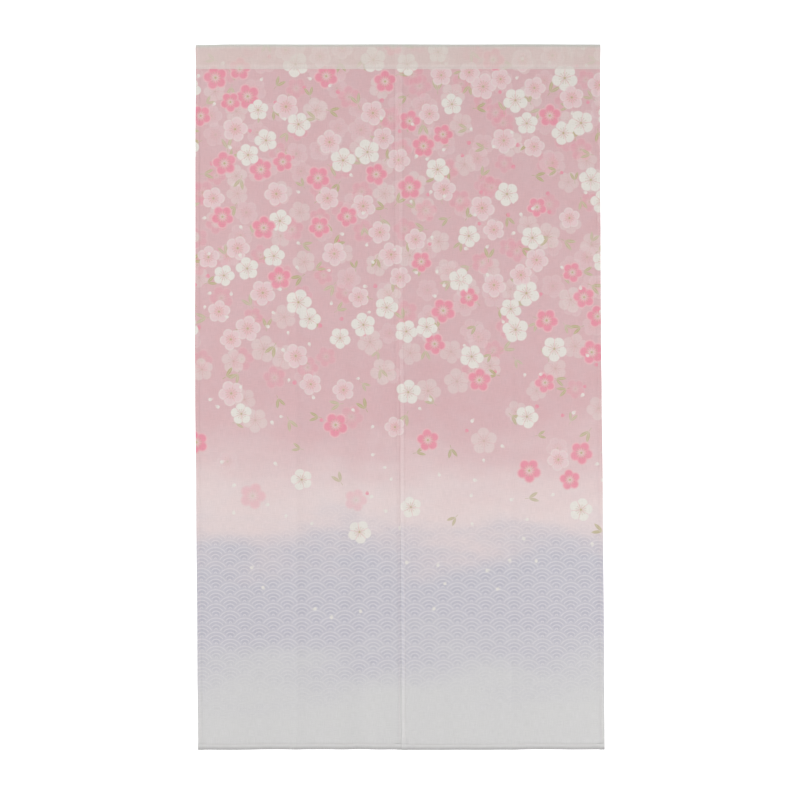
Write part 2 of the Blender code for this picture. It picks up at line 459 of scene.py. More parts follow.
def make_panel(panel, sizes, face_material, back_material):
    """Cloth of one panel, with its hems turned to the back."""
    width = flat_width(panel)
    crease_at = panel.crease - panel_edges(panel, OUTLINE[0])[0]
    columns = columns_between_hems(width, crease_at, CREASE_REACH, CREASE_STEP, FREE_STEP, sizes)
    length = DROP - LAYER / 2
    arc = math.pi * LAYER / 2
    rows = stations(
        TUCK,
        (LEVEL_CREASE_BELOW - CREASE_REACH, ROW_STEP),
        (LEVEL_CREASE_BELOW + CREASE_REACH, LEVEL_CREASE_STEP),
        (length - FOOT_REACH, ROW_STEP),
        (length - sizes.foot_hem - HEM_EDGE, BEHIND_STEP),
        (length - sizes.foot_hem + HEM_EDGE, 2.0 * HEM_EDGE),
        (length - FOOT_EDGE_REACH, BEHIND_STEP),
        (length, EDGE_STEP),
        (length + arc, arc / sizes.fold_steps),
        (length + arc + sizes.foot_hem, TURNED_STEP),
    )

    def point_at(across, down):
        return on_panel(panel, *hemmed(across, width, down, sizes.side_hem))

    def print_at(across, down):
        inward, below_top, _ = hemmed(across, width, down, sizes.side_hem)
        return panel_edges(panel, OUTLINE[0])[0] + HEM_RADIUS + inward, -below_top

    def tones_at(across, down):
        inward, below_top, _ = hemmed(across, width, down, sizes.side_hem)
        side = min(inward, width - inward)
        foot = DROP - below_top
        at_centre = inward > width / 2 if panel.high == "middle" else inward < width / 2
        # At the centre edges the doubled look is raised to full strength: partly the extra layers there,
        # partly a painted highlight on the seam's fold and the slit's rolled edge
        seam = 1.0
        beside = 0.0
        if panel.high == "middle":
            seam -= (1.0 - HEM_DOUBLED) * ease(below_top, *SEAM_FADES)
            # Painted shade just past the inner edge of the left panel's centre hem
            beside = shade_beside_hem(side, sizes.side_hem) * seam if at_centre else 0.0
        side_tone = within_hem(side, sizes.side_hem) * (seam if at_centre else HEM_DOUBLED)
        doubled_and_lit = max(side_tone, within_hem(foot, sizes.foot_hem) * HEM_DOUBLED)
        # Painted shade along the outer side folds and the foot fold, darkest at the edge
        side_edge_shade = 0.0 if at_centre else SIDE_EDGE_SHADE * fading(side + HEM_RADIUS, SIDE_EDGE_SHADE_REACH)
        edge_shade = max(side_edge_shade, fading(foot, FOOT_EDGE_SHADE_REACH))
        return Tones(doubled_and_lit, 0.0, beside, edge_shade, 0.0)

    mesh = cloth_sheet(panel.name, columns, rows, point_at, print_at, tones_at)
    cloth = thickened(mesh, sizes.sheet, face_material, back_material)
    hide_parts(panel.node)
    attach(cloth, "root")
    return cloth


# Heading

Section = namedtuple("Section", "distance point inside room")
FACE_Y = CLOTH_OUT
BACK_Y = CLOTH_OUT - 3.0 * LAYER
PLY_ROOM = 0.3
TURN_BLUR = 0.001
BARE_STARTS = (0.002, 0.005)


def tangent_angle(point_y, crown_radius, side):
    """Angle on the crown where a straight ply from the pinch touches it, on the face, 1, or the back, -1."""
    down = PINCH_Z + CROWN_OUTSIDE
    swing = math.acos(crown_radius / math.hypot(point_y, down))
    return math.atan2(down, point_y) + side * swing


def heading_corners(sizes):
    """Y and Z down the turned-under edge, round the fold, up the back, over the crown and down the face."""
    radius = CROWN_OUTSIDE - sizes.sheet / 2
    back = tangent_angle(BACK_Y, radius, -1.0)
    face = tangent_angle(FACE_Y, radius, 1.0)
    sweep = 2.0 * math.pi + back - face
    crown = []
    for step in range(CROWN_STEPS + 1):
        angle = back - sweep * step / CROWN_STEPS
        crown.append(Vector((radius * math.cos(angle), radius * math.sin(angle) - CROWN_OUTSIDE)))
    fold_z = -POCKET_DROP + LAYER / 2 + sizes.sheet / 2
    fold = []
    for step in range(sizes.fold_steps + 1):
        angle = math.pi * step / sizes.fold_steps
        across = BACK_Y + LAYER / 2 + LAYER / 2 * math.cos(angle)
        fold.append(Vector((across, fold_z - LAYER / 2 * math.sin(angle))))
    pinch = Vector((BACK_Y, PINCH_Z))
    beside = Vector((LAYER, 0.0))
    free = sizes.seam_turn - (PINCH_Z - fold_z)
    free_end = pinch + beside + (crown[0] - pinch).normalized() * free
    face_ply = [Vector((FACE_Y, PINCH_Z)), Vector((FACE_Y, -TUCK))]
    return [free_end, pinch + beside] + fold + [pinch] + crown + face_ply


def heading_section(sizes):
    """Stations along the corners: distance, point, way to the inside, and room for turned cloth there."""
    corners = heading_corners(sizes)
    points = corners[:1]
    for start, end in zip(corners, corners[1:]):
        steps = max(1, math.ceil((end - start).length / SECTION_STEP))
        points += [start.lerp(end, step / steps) for step in range(1, steps + 1)]
    free_top = points[0].y + TURN_BLUR
    section = []
    distance = 0.0
    passed_pinch = False
    for before, point, after in zip(points[:1] + points, points, points[1:] + points[-1:]):
        distance += (point - before).length
        along = (after - before).normalized()
        passed_pinch = passed_pinch or (point.x < BACK_Y and point.y > free_top)
        room = 1.0 if passed_pinch else PLY_ROOM
        section.append(Section(distance, point, Vector((along.y, -along.x)), room))
    return section


def heading_length(sizes):
    return heading_section(sizes)[-1].distance


def on_heading(x, point):
    """Point of the pocket, whose crown dips at the left corner and sways along the curtain."""
    height = 1.0 + point.y / POCKET_DROP
    dip = CORNER_DIP * ease(-x, HALF_WIDTH - CORNER_REACH, HALF_WIDTH)
    wave = TOP_WAVE * math.sin(math.pi * x / TOP_WAVE_LENGTH) ** 2
    sway = POCKET_SWAY * math.sin(2.0 * math.pi * x / POCKET_SWAY_LENGTH)
    return Vector((x, point.x + sway * height, point.y - (dip + wave) * height))


def heading_cut(sizes):
    """Flat size of the heading's strip: width and length with all that is turned."""
    turned = sizes.side_hem + math.pi * HEM_RADIUS
    return 2.0 * (HALF_WIDTH - HEM_RADIUS + turned), heading_length(sizes)


def make_heading(sizes, face_material, back_material):
    """Strip that makes the rod pocket, hemmed at its open ends, with the centre seam through both plies."""
    low = -HALF_WIDTH + HEM_RADIUS
    width = 2.0 * (HALF_WIDTH - HEM_RADIUS)
    seam_at = SEAM_X - low
    seam_reach = sizes.side_hem + SEAM_REACH
    columns = columns_between_hems(width, seam_at, seam_reach, SEAM_STEP, HEADING_FREE_STEP, sizes)
    section = heading_section(sizes)
    crown_top = max(section, key=lambda station: station.point.y).distance
    length = section[-1].distance

    def point_at(across, station):
        inward, depth = side_hemmed(across, width)
        groove = SEAM_GROOVE * math.exp(-((inward - seam_at) / SEAM_GROOVE / 2.0) ** 2)
        point = station.point + station.inside * (depth * station.room + groove)
        return on_heading(low + inward, point)

    def print_at(across, station):
        x = low + side_hemmed(across, width)[0]
        if station.distance > crown_top:
            return x, length - station.distance - TUCK
        return x, station.point.y

    def tones_at(across, station):
        inward, _ = side_hemmed(across, width)
        side = min(inward, width - inward)
        turn_end = 2.0 * sizes.seam_turn
        turned_under = 1.0 - ease(station.distance, turn_end - TURN_BLUR, turn_end + TURN_BLUR)
        side_tone = within_hem(side, sizes.side_hem) * HEM_DOUBLED
        seam_tone = within_hem(abs(inward - seam_at), sizes.side_hem) * HEM_DOUBLED
        bare = 1.0 - ease(station.distance - crown_top, *BARE_STARTS)
        # Painted shade along the folds at the strip's outer ends
        edge_shade = SIDE_EDGE_SHADE * fading(side + HEM_RADIUS, SIDE_EDGE_SHADE_REACH)
        # Painted light over the crown's top, fading away from it
        greyed = fading(abs(station.distance - crown_top), CROWN_LIGHT_REACH)
        return Tones(max(side_tone, seam_tone, turned_under), bare, 0.0, edge_shade, greyed * bare)

    mesh = cloth_sheet("heading_cloth", columns, section, point_at, print_at, tones_at)
    cloth = thickened(mesh, sizes.sheet, face_material, back_material)
    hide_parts("heading")
    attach(cloth, "root")
    return cloth


# Sewing

STITCH_SIDES = 6
STITCH_SINK = 0.00035
SUNK_PAST = 0.4
STITCH_FROM_HEM_EDGE = 0.0014
SIDE_ROW_STARTS = 0.001
SEAM_ROW_INSET = 0.002
HEADING_STITCH_Z = -0.0508
DRIFT = 0.0003
DRIFT_LENGTH = 0.21
TACK_WIDTH = 0.009
TACK_DROP = 0.006
TACK_SPACING = 1.1


def stitch_row(count, step, sizes):
    """Row of stitches from the origin on: one bowed thread, its ends in the cloth, repeated by the step."""
    bpy.ops.object.select_all(action="DESELECT")
    bpy.ops.mesh.primitive_cylinder_add(
        vertices=STITCH_SIDES,
        radius=sizes.thread / 2,
        depth=sizes.stitch_length,
        rotation=(math.pi / 2, 0.0, 0.0),
    )
    row = bpy.context.object
    bpy.ops.object.transform_apply(location=False, rotation=True, scale=False)
    bpy.ops.object.mode_set(mode="EDIT")
    for side in (-1.0, 1.0):
        bpy.ops.mesh.select_all(action="SELECT")
        bpy.ops.mesh.bisect(plane_co=(0.0, side * sizes.stitch_length / 4, 0.0), plane_no=(0.0, 1.0, 0.0))
    edited = bmesh.from_edit_mesh(row.data)
    for vertex in edited.verts:
        vertex.select_set(abs(vertex.co.y) > sizes.stitch_length * SUNK_PAST)
    edited.select_flush_mode()
    bmesh.update_edit_mesh(row.data)
    bpy.ops.transform.translate(value=(0.0, 0.0, -STITCH_SINK))
    bpy.ops.object.mode_set(mode="OBJECT")
    array = row.modifiers.new("row", "ARRAY")
    array.count = count
    array.use_relative_offset = False
    array.use_constant_offset = True
    array.constant_offset_displace = step
    bpy.ops.object.modifier_apply(modifier=array.name)
    return row


def laid_row(count, sizes, place_at):
    """Row of stitches one after the other, laid on the cloth."""
    return laid(stitch_row(count, (0.0, sizes.stitch_pitch, 0.0), sizes), place_at)


def laid(row, place_at):
    """Move a row's vertices onto the cloth: across the line, along it, and above the surface."""
    for vertex in row.data.vertices:
        vertex.co = place_at(*vertex.co)
    row.data.update()
    return row


def drifted(along):
    return DRIFT * math.sin(2.0 * math.pi * along / DRIFT_LENGTH)


def panel_stitches(panel, sizes):
    """Rows on both sides of a panel's cloth: along its side hems and its foot hem."""
    width = flat_width(panel)
    hem_line = sizes.side_hem - STITCH_FROM_HEM_EDGE
    foot_line = DROP - sizes.foot_hem + STITCH_FROM_HEM_EDGE
    side_count = int((foot_line - POCKET_DROP) / sizes.stitch_pitch)
    foot_count = int((width - 2.0 * hem_line) / sizes.stitch_pitch)
    on_back = LAYER + sizes.sheet / 2
    rows = []
    for skin, away in ((on_back, 1.0), (sizes.sheet / 2, -1.0)):
        for line in (hem_line, width - hem_line):

            def beside_edge(across, along, above, line=line, skin=skin, away=away):
                inward = line + across + drifted(along)
                return on_panel(panel, inward, POCKET_DROP + SIDE_ROW_STARTS + along, away * (skin + above))

            rows.append(laid_row(side_count, sizes, beside_edge))

        def above_foot(across, along, above, skin=skin, away=away):
            below_top = foot_line - across - drifted(along)
            return on_panel(panel, hem_line + along, below_top, away * (skin + above))

        rows.append(laid_row(foot_count, sizes, above_foot))
    return rows


def heading_stitches(sizes):
    """Rows on both sides of the heading's seam."""
    start = -HALF_WIDTH + SEAM_ROW_INSET
    count = int(-2.0 * start / sizes.stitch_pitch)
    rows = []
    for skin_y, away in ((BACK_Y - sizes.sheet / 2, -1.0), (FACE_Y + sizes.sheet / 2, 1.0)):

        def along_seam(across, along, above, skin_y=skin_y, away=away):
            z = HEADING_STITCH_Z + across + drifted(along)
            return on_heading(start + along, Vector((skin_y + away * above, z)))

        rows.append(laid_row(count, sizes, along_seam))
    return rows


def slit_tack(sizes):
    """Dense stitches across the centre seam where the slit starts."""
    pitch = sizes.thread * TACK_SPACING
    stretch = TACK_WIDTH / sizes.stitch_length

    def across_seam(across, along, above):
        below_top = SLIT_TOP - TACK_DROP + across
        x = outline_at(below_top).middle + along * stretch
        y = CLOTH_OUT - fold_rise(x, below_top) - LAYER - sizes.sheet / 2 - above
        return Vector((x, y, -below_top))

    return laid(stitch_row(int(TACK_DROP / pitch), (pitch, 0.0, 0.0), sizes), across_seam)


def joined(name, rows, material):
    """Rows as one piece."""
    select_only(*rows)
    bpy.ops.object.join()
    piece = bpy.context.object
    piece.name = name
    piece.data.name = name
    bpy.ops.object.mode_set(mode="EDIT")
    bpy.ops.mesh.select_all(action="SELECT")
    bpy.ops.mesh.normals_make_consistent(inside=False)
    bpy.ops.object.mode_set(mode="OBJECT")
    bpy.ops.object.shade_smooth()
    piece.data.materials.append(material)
    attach(piece, "root")
    return piece


# Materials


class Recipe:
    """Adds nodes to a tree and joins them."""

    def __init__(self, tree):
        self.tree = tree

    def add(self, kind, *values, **settings):
        """Node whose first sockets are fed in order."""
        node = self.tree.nodes.new(kind)
        for name, value in settings.items():
            setattr(node, name, value)
        for socket, value in zip(node.inputs, values):
            self.feed(socket, value)
        return node

    def add_named(self, kind, values, **settings):
        """Node whose sockets are fed by their names."""
        node = self.add(kind, **settings)
        for name, value in values.items():
            self.feed(node.inputs[name], value)
        return node

    def feed(self, socket, value):
        if isinstance(value, bpy.types.NodeSocket):
            self.tree.links.new(value, socket)
        else:
            socket.default_value = value

    def math(self, operation, *values):
        return self.add("ShaderNodeMath", *values, operation=operation).outputs[0]

    def product(self, first, second):
        return self.math("MULTIPLY", first, second)

    def vector(self, operation, *values):
        return self.add("ShaderNodeVectorMath", *values, operation=operation).outputs["Vector"]

    def times(self, vector, factor):
        node = self.add_named("ShaderNodeVectorMath", {"Vector": vector, "Scale": factor}, operation="SCALE")
        return node.outputs["Vector"]

    def ease(self, value, start, end, low=0.0, high=1.0):
        """Go smoothly from low at the start to high at the end."""
        node = self.add("ShaderNodeMapRange", value, start, end, low, high, interpolation_type="SMOOTHSTEP")
        return node.outputs["Result"]

    def mix(self, share, first, second):
        node = self.add("ShaderNodeMix", data_type="RGBA")
        for socket, value in ((node.inputs[0], share), (node.inputs[6], first), (node.inputs[7], second)):
            self.feed(socket, (*value, 1.0) if isinstance(value, (tuple, Color)) else value)
        return node.outputs[2]

    def turned(self, vector, angle):
        values = {"Vector": vector, "Angle": angle}
        return self.add_named("ShaderNodeVectorRotate", values, rotation_type="Z_AXIS").outputs["Vector"]

    def parts(self, vector):
        return self.add("ShaderNodeSeparateXYZ", vector).outputs[:]

    def joined(self, x, y):
        return self.add("ShaderNodeCombineXYZ", x, y, 0.0).outputs[0]

    def length(self, x, y):
        return self.add("ShaderNodeVectorMath", self.joined(x, y), operation="LENGTH").outputs["Value"]

    def clouds(self, vector, scale, detail=2.0, roughness=0.5):
        """Outputs of soft noise: an even one and a coloured one."""
        values = {"Vector": vector, "Scale": scale, "Detail": detail, "Roughness": roughness}
        return self.add_named("ShaderNodeTexNoise", values, noise_dimensions="3D").outputs

    def stretched_clouds(self, vector, stretch, detail):
        return self.clouds(self.vector("MULTIPLY", vector, stretch), 1.0, detail)["Fac"]

    def dice(self, cell, seed):
        """Three even random numbers for a cell."""
        place = self.vector("ADD", cell, (0.0, 0.0, seed))
        return self.parts(self.add("ShaderNodeTexWhiteNoise", place, noise_dimensions="3D").outputs["Color"])

    def bump(self, strength, distance, height):
        values = {"Strength": strength, "Distance": distance, "Height": height}
        return self.add_named("ShaderNodeBump", values).outputs[0]


# Motifs strewn over the print: cells on a turned grid that is slid by a share of a cell, a motif in each,
# and fewer of them further down. The two layers of clear blossoms fill each other's gaps.
Strewn = namedtuple("Strewn", "seed slide turn cell radius share starts ends opacity")
FAINT_BLOSSOMS = (
    Strewn(87.0, 0.0, 0.75, 0.062, 0.0270, 0.85, 0.30, 1.05, 0.30),
    Strewn(93.0, 0.5, 1.20, 0.071, 0.0290, 0.75, 0.40, 1.10, 0.36),
)
CLEAR_BLOSSOMS = (
    Strewn(3.0, 0.0, 0.31, 0.078, 0.0280, 0.72, 0.32, 1.12, 0.95),
    Strewn(11.0, 0.5, 0.31, 0.078, 0.0270, 0.66, 0.36, 1.16, 0.95),
)
LEAVES = (
    Strewn(41.0, 0.3, 0.31, 0.078, 0.0210, 0.85, 0.40, 1.12, 0.90),
    Strewn(47.0, 0.7, 0.31, 0.078, 0.0190, 0.60, 0.40, 1.16, 0.90),
)
PETALS = Strewn(57.0, 0.0, 0.90, 0.044, 0.0062, 0.30, 1.10, 1.28, 0.85)
BUDS = Strewn(71.0, 0.0, 0.15, 0.049, 0.0060, 0.30, 0.30, 1.18, 0.85)

# Cells: how many from the middle of the print to where a grid starts, so that every cell's number is above 0,
# the room that a motif keeps round it, and the smallest motif's share of the largest
GRID_MIDDLE = 60.0
CELL_MIDDLE = (0.5, 0.5, 0.0)
MOTIF_ROOM = 1.04
SMALLEST = 0.80

# A fade says where it starts and where it ends, and may say how strong it is at its start and at its end.

# Blossom, in shares of its radius: five round petals on a core, of one of three colours by a dice
PETAL_SPAN = math.pi / 5
PETAL_MIDDLE = 0.56
PETAL_RADIUS = 0.45
PETAL_FADE = (0.50, 0.40)
CORE_FADE = (0.34, 0.28)
WHITE_OVER = 0.34
ROSE_OVER = 0.68
HEART_FADE = (0.55, 0.05, 0.0, 0.75)
RIM_FADE = (0.55 * PETAL_RADIUS, PETAL_RADIUS, 0.0, 0.45)
VEIN_FADE = (0.045, 0.010, 0.0, 0.40)
VEIN_ENDS = (0.95, 0.70)

# Stamens, in shares of the blossom's radius: rays with a dot at each tip, round an eye
RAY_SPAN = math.pi / 12
RAY_FADE = (0.022, 0.008)
RAY_ENDS = (0.44, 0.40)
TIP_AT = 0.44
TIP_FADE = (0.045, 0.025)
STAMEN_SHARE = 0.55
EYE_FADE = (0.11, 0.06, 0.0, 0.7)

# Leaf pair, in shares of its radius: blades with a pale rib, spread from the end of a short stem
PAIR_STARTS = 0.55
BLADE_SPREAD = 0.42
BLADE_MIDDLE = 0.66
BLADE_REACH = 0.60
BLADE_BULGE = 0.50
BLADE_FADE = (0.03, -0.03)
RIB_FADE = (0.035, 0.012, 0.0, 0.3)
STEM_FADE = (0.04, 0.02)
STEM_TOP = (-0.45, -0.55)
STEM_FOOT = (-0.95, -0.90)
LEAF_PALES = 0.3

# Small spots, in shares of their radius: how squeezed a bud and a petal is, and how much fuller at one end
BUD_SQUEEZE = 0.80
PETAL_SQUEEZE = 0.60
SPOT_TAPER = 0.30
SPOT_FADE = (1.0, 0.86)
SPOT_SHADE = (-0.9, 0.4, 0.6, 0.0)

# Waves: scales of rings in rows, each row over the one above. Rings are in shares of a scale's radius, and
# the shift puts every scale's number above 0.
WAVE_RADIUS = 0.030
SCALE_SHIFT = 401.0
RING_STEP = 0.125
RING_SHIFT = 0.04
RING_FADE = (0.075, 0.100)
SCALE_SHADE = (0.2, 1.0, 0.0, 0.35)
SCALE_FADE = (1.005, 0.985)

# Ground from the top down: pink, which pales, then the waves, then the foot's grey, all frayed by mist
GROUND_PALES = (0.76, 1.02)
WAVES_START = (0.98, 1.13, 0.0, 0.9)
WAVES_END = (1.22, 1.43)
MIST = 0.24
MIST_STRETCH = (4.0, 11.0, 1.0)

# Unevenness of the printed outlines, and of how the dye took
WOBBLE_SCALE = 26.0
WOBBLE = (0.0016, 0.0016, 0.0)
DYE_SCALE = 28.0
DYE_FADE = (0.35, 0.70, 0.0, 0.10)

# Weave: the slubs of the two threads, how they shade and roughen the cloth, and the threads' relief
WEFT_STRETCH = (55.0, 900.0, 1.0)
WARP_STRETCH = (900.0, 55.0, 1.0)
THREAD_PITCH = 0.0007
THREAD_RELIEF = 0.12
SLUB_SHADE = (0.30, 0.70, 0.945, 1.055)
SLUB_ROUGHNESS = (0.30, 0.70, 0.94, 0.84)
WEAVE_BUMP = (0.35, 0.0004)

# Cloth: how vivid the print is on its face and its back, and how much of it shows through bare cloth
FACE_VIVID = 1.10
BACK_VIVID = 1.00
SHOW_THROUGH = 0.28

# How much lighter doubled cloth is, partly a painted highlight at the centre edges, and how much darker
# painted shade makes it beside a hem and along the edge folds
DOUBLED_AND_LIT_TONE = (0.86, 0.85, 0.84)
DOUBLED_AND_LIT_SHARE = 0.13
BESIDE_HEM_SHADE = 0.025
EDGE_SHADE_TONE = 0.34

# Sewing thread: how closely it is twisted, the scale of its uneven tone, and its darker tone
TWIST_SCALE = 900.0
THREAD_SCALE = 300.0
THREAD_DARKER = 0.88
TWIST_BUMP = (0.4, 0.0001)


def strewn_cell(recipe, place, strewn):
    """Place in a motif's own frame in shares of its radius, whether it is there, and a random number."""
    far_off = (GRID_MIDDLE + strewn.slide) * strewn.cell
    moved = recipe.vector("ADD", recipe.turned(place, strewn.turn), (far_off, far_off, 0.0))
    index = recipe.vector("FLOOR", recipe.times(moved, 1.0 / strewn.cell))
    across, down, spin = recipe.dice(index, strewn.seed)
    draw, tint, growth = recipe.dice(index, strewn.seed + 0.5)

    centre = recipe.times(recipe.vector("ADD", index, CELL_MIDDLE), strewn.cell)
    loose = strewn.cell - 2.0 * MOTIF_ROOM * strewn.radius
    shift = recipe.times(recipe.vector("SUBTRACT", recipe.joined(across, down), CELL_MIDDLE), loose)
    local = recipe.vector("SUBTRACT", recipe.vector("SUBTRACT", moved, centre), shift)
    spun = recipe.turned(local, recipe.product(spin, 2.0 * math.pi))
    size = recipe.math("MULTIPLY_ADD", growth, (1.0 - SMALLEST) * strewn.radius, SMALLEST * strewn.radius)
    unit = recipe.times(spun, recipe.math("DIVIDE", 1.0, size))

    back = recipe.vector("SUBTRACT", centre, (far_off, far_off, 0.0))
    _, height, _ = recipe.parts(recipe.turned(back, -strewn.turn))
    chance = recipe.ease(height, -strewn.starts, -strewn.ends, strewn.share, 0.0)
    return unit, recipe.math("LESS_THAN", draw, chance), tint


def painted_over(recipe, ground, motif, shape, there, opacity):
    """Motif over the ground, where its shape is and its cell has one."""
    return recipe.mix(recipe.product(recipe.product(shape, there), opacity), ground, motif)


def stamens(recipe, radius, angle):
    """How strongly the rays and their tips show at a place of a blossom."""
    aside = recipe.product(radius, recipe.math("PINGPONG", angle, RAY_SPAN))
    rays = recipe.product(recipe.ease(aside, *RAY_FADE), recipe.ease(radius, *RAY_ENDS))
    from_tip = recipe.length(recipe.math("SUBTRACT", radius, TIP_AT), aside)
    return recipe.product(recipe.math("MAXIMUM", rays, recipe.ease(from_tip, *TIP_FADE)), STAMEN_SHARE)


def blossom_layer(recipe, place, ground, strewn, colours):
    """Five-petalled round blossoms with stamens, painted over the ground."""
    unit, there, tint = strewn_cell(recipe, place, strewn)
    x, y, _ = recipe.parts(unit)
    radius = recipe.length(x, y)
    angle = recipe.math("ARCTAN2", y, x)
    from_axis = recipe.math("PINGPONG", angle, PETAL_SPAN)
    along = recipe.math("SUBTRACT", recipe.product(radius, recipe.math("COSINE", from_axis)), PETAL_MIDDLE)
    aside = recipe.product(radius, recipe.math("SINE", from_axis))
    from_middle = recipe.length(along, aside)
    shape = recipe.math("MAXIMUM", recipe.ease(from_middle, *PETAL_FADE), recipe.ease(radius, *CORE_FADE))

    is_white = recipe.math("GREATER_THAN", tint, WHITE_OVER)
    petal = recipe.mix(is_white, colours.blush, colours.white)
    petal = recipe.mix(recipe.math("GREATER_THAN", tint, ROSE_OVER), petal, colours.rose)
    heart = recipe.mix(is_white, colours.rose, colours.blush)
    petal = recipe.mix(recipe.ease(radius, *HEART_FADE), petal, heart)
    petal = recipe.mix(recipe.ease(from_middle, *RIM_FADE), petal, colours.white)
    from_gap = recipe.math("SINE", recipe.math("SUBTRACT", PETAL_SPAN, from_axis))
    vein = recipe.ease(recipe.product(radius, from_gap), *VEIN_FADE)
    petal = recipe.mix(recipe.product(vein, recipe.ease(radius, *VEIN_ENDS)), petal, colours.rose)
    petal = recipe.mix(stamens(recipe, radius, angle), petal, colours.leaf)
    petal = recipe.mix(recipe.ease(radius, *EYE_FADE), petal, colours.leaf)
    return painted_over(recipe, ground, petal, shape, there, strewn.opacity)


def leaf_layer(recipe, place, ground, strewn, colours):
    """Pairs of slim leaves on a short stem."""
    unit, there, tint = strewn_cell(recipe, place, strewn)
    x, y, _ = recipe.parts(unit)
    off_axis = recipe.math("ABSOLUTE", y)
    pair = recipe.vector("ADD", recipe.joined(x, off_axis), (PAIR_STARTS, 0.0, 0.0))
    along, aside, _ = recipe.parts(recipe.turned(pair, -BLADE_SPREAD))
    aside = recipe.math("ABSOLUTE", aside)
    from_middle = recipe.math("SUBTRACT", along, BLADE_MIDDLE)
    narrowed = recipe.math("SUBTRACT", BLADE_REACH ** 2, recipe.product(from_middle, from_middle))
    belly = recipe.product(narrowed, BLADE_BULGE)
    blade = recipe.ease(recipe.math("SUBTRACT", aside, belly), *BLADE_FADE)
    stem = recipe.product(recipe.ease(off_axis, *STEM_FADE), recipe.ease(x, *STEM_TOP))
    stem = recipe.product(stem, recipe.ease(x, *STEM_FOOT))

    green = recipe.mix(recipe.product(tint, LEAF_PALES), colours.leaf, colours.pale_ground)
    green = recipe.mix(recipe.ease(aside, *RIB_FADE), green, colours.white)
    return painted_over(recipe, ground, green, recipe.math("MAXIMUM", blade, stem), there, strewn.opacity)


def spot_layer(recipe, place, ground, strewn, colour, squeeze):
    """Small drop-shaped spots: buds or loose petals."""
    unit, there, _ = strewn_cell(recipe, place, strewn)
    x, y, _ = recipe.parts(unit)
    widened = recipe.math("DIVIDE", y, recipe.math("MULTIPLY_ADD", x, SPOT_TAPER, squeeze))
    shape = recipe.ease(recipe.length(x, widened), *SPOT_FADE)
    shaded = recipe.mix(recipe.ease(x, *SPOT_SHADE), colour, ground)
    return painted_over(recipe, ground, shaded, shape, there, strewn.opacity)


def wave_field(recipe, place, colours):
    """Overlapping scales of rings, in rows that lie over the row above."""
    x, y, _ = recipe.parts(recipe.times(place, 1.0 / WAVE_RADIUS))
    row = recipe.math("FLOOR", recipe.product(y, 2.0))
    colour = None
    for step in (1.0, 0.0, -1.0):
        this_row = recipe.math("ADD", row, step)
        slid = recipe.math("ADD", recipe.math("ADD", x, this_row), SCALE_SHIFT)
        aside = recipe.math("SUBTRACT", recipe.math("MODULO", slid, 2.0), 1.0)
        above = recipe.math("SUBTRACT", y, recipe.product(this_row, 0.5))
        distance = recipe.length(aside, above)
        ring = recipe.math("PINGPONG", recipe.math("ADD", distance, RING_SHIFT), RING_STEP)
        shaded = recipe.mix(recipe.ease(distance, *SCALE_SHADE), colours.water, colours.foam)
        scale = recipe.mix(recipe.ease(ring, *RING_FADE), shaded, colours.foam)
        inside = recipe.ease(distance, *SCALE_FADE)
        colour = scale if colour is None else recipe.mix(inside, colour, scale)
    return colour


def print_ground(recipe, flat_place, place, colours):
    """Pink ground that pales on its way down to waves and grey."""
    _, height, _ = recipe.parts(flat_place)
    cloud = recipe.stretched_clouds(flat_place, MIST_STRETCH, 3.0)
    below_top = recipe.product(height, -1.0)
    ragged = recipe.math("MULTIPLY_ADD", recipe.math("SUBTRACT", cloud, 0.5), MIST, below_top)
    ground = recipe.mix(recipe.ease(ragged, *GROUND_PALES), colours.ground, colours.pale_ground)
    waves = wave_field(recipe, place, colours)
    waves = recipe.mix(recipe.ease(ragged, *WAVES_END), waves, colours.foot)
    return recipe.mix(recipe.ease(ragged, *WAVES_START), ground, waves)


def print_group(colours):
    """Node group of the print: blossoms, leaves, buds and petals over the ground."""
    tree = bpy.data.node_groups.new("noren_print", "ShaderNodeTree")
    tree.interface.new_socket("Place", in_out="INPUT", socket_type="NodeSocketVector")
    tree.interface.new_socket("Colour", in_out="OUTPUT", socket_type="NodeSocketColor")
    recipe = Recipe(tree)
    flat_place = tree.nodes.new("NodeGroupInput").outputs[0]
    wobble = recipe.clouds(flat_place, WOBBLE_SCALE)["Color"]
    drift = recipe.vector("SUBTRACT", wobble, (0.5, 0.5, 0.5))
    place = recipe.vector("ADD", flat_place, recipe.vector("MULTIPLY", drift, WOBBLE))

    painted = print_ground(recipe, flat_place, place, colours)
    for strewn in FAINT_BLOSSOMS:
        painted = blossom_layer(recipe, place, painted, strewn, colours)
    painted = spot_layer(recipe, place, painted, BUDS, colours.rose, BUD_SQUEEZE)
    for strewn in LEAVES:
        painted = leaf_layer(recipe, place, painted, strewn, colours)
    for strewn in CLEAR_BLOSSOMS:
        painted = blossom_layer(recipe, place, painted, strewn, colours)
    painted = spot_layer(recipe, place, painted, PETALS, colours.white, PETAL_SQUEEZE)
    dye = recipe.clouds(flat_place, DYE_SCALE, 4.0, 0.6)["Fac"]
    painted = recipe.mix(recipe.ease(dye, *DYE_FADE), painted, colours.foam)
    recipe.feed(tree.nodes.new("NodeGroupOutput").inputs[0], painted)
    return tree


def weave(recipe, place):
    """Slubs of the two threads as streaks, and the threads themselves as a height."""
    weft = recipe.stretched_clouds(place, WEFT_STRETCH, 3.0)
    warp = recipe.stretched_clouds(place, WARP_STRETCH, 3.0)
    streaks = recipe.product(recipe.math("ADD", weft, warp), 0.5)
    across, down, _ = recipe.parts(place)
    turns = 2.0 * math.pi / THREAD_PITCH
    over = recipe.math("SINE", recipe.product(across, turns))
    under = recipe.math("SINE", recipe.product(down, turns))
    return streaks, recipe.math("MULTIPLY_ADD", recipe.product(over, under), THREAD_RELIEF, streaks)


